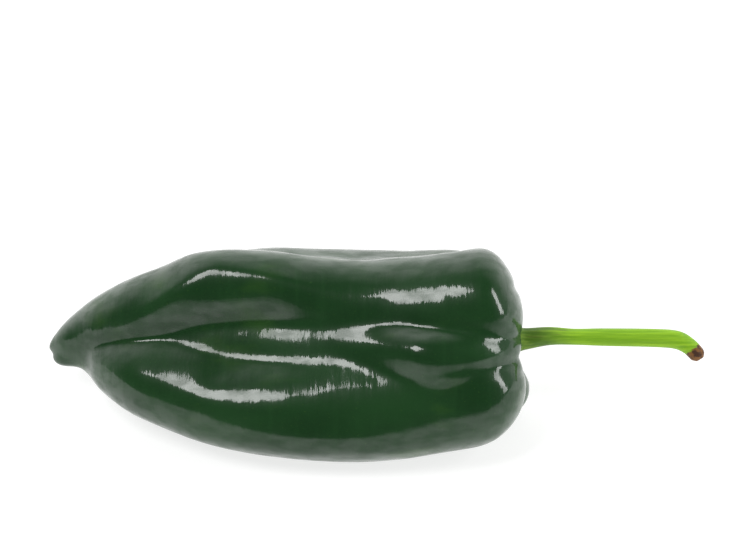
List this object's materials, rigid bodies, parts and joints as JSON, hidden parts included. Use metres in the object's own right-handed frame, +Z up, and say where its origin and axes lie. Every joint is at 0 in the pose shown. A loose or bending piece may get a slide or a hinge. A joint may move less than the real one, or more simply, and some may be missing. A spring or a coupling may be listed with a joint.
{
  "type": "poblano pepper",
  "caption": "Poblano pepper lying on its side: glossy dark green lobed pod with a pointed tip, a green calyx and a curved cut stem.",
  "frame": {"origin": "on the surface that the pepper lies on, under the middle of its bounding box", "axes": "+X along the pod from the tip to the cut end of the stem, +Z up, -Y towards the side with the wide front lobes"},
  "size_m": [0.188, 0.0631, 0.0533],
  "materials": {
    "pod_skin": "waxy, glossy dark green skin",
    "calyx_green": "satin green",
    "stem_green": "satin yellow-green with lengthwise fibres and a brown dried cut end"
  },
  "bodies": {
    "root": {"pod": "pod_skin", "calyx": "calyx_green", "stem": "stem_green"}
  },
  "joints": []
}
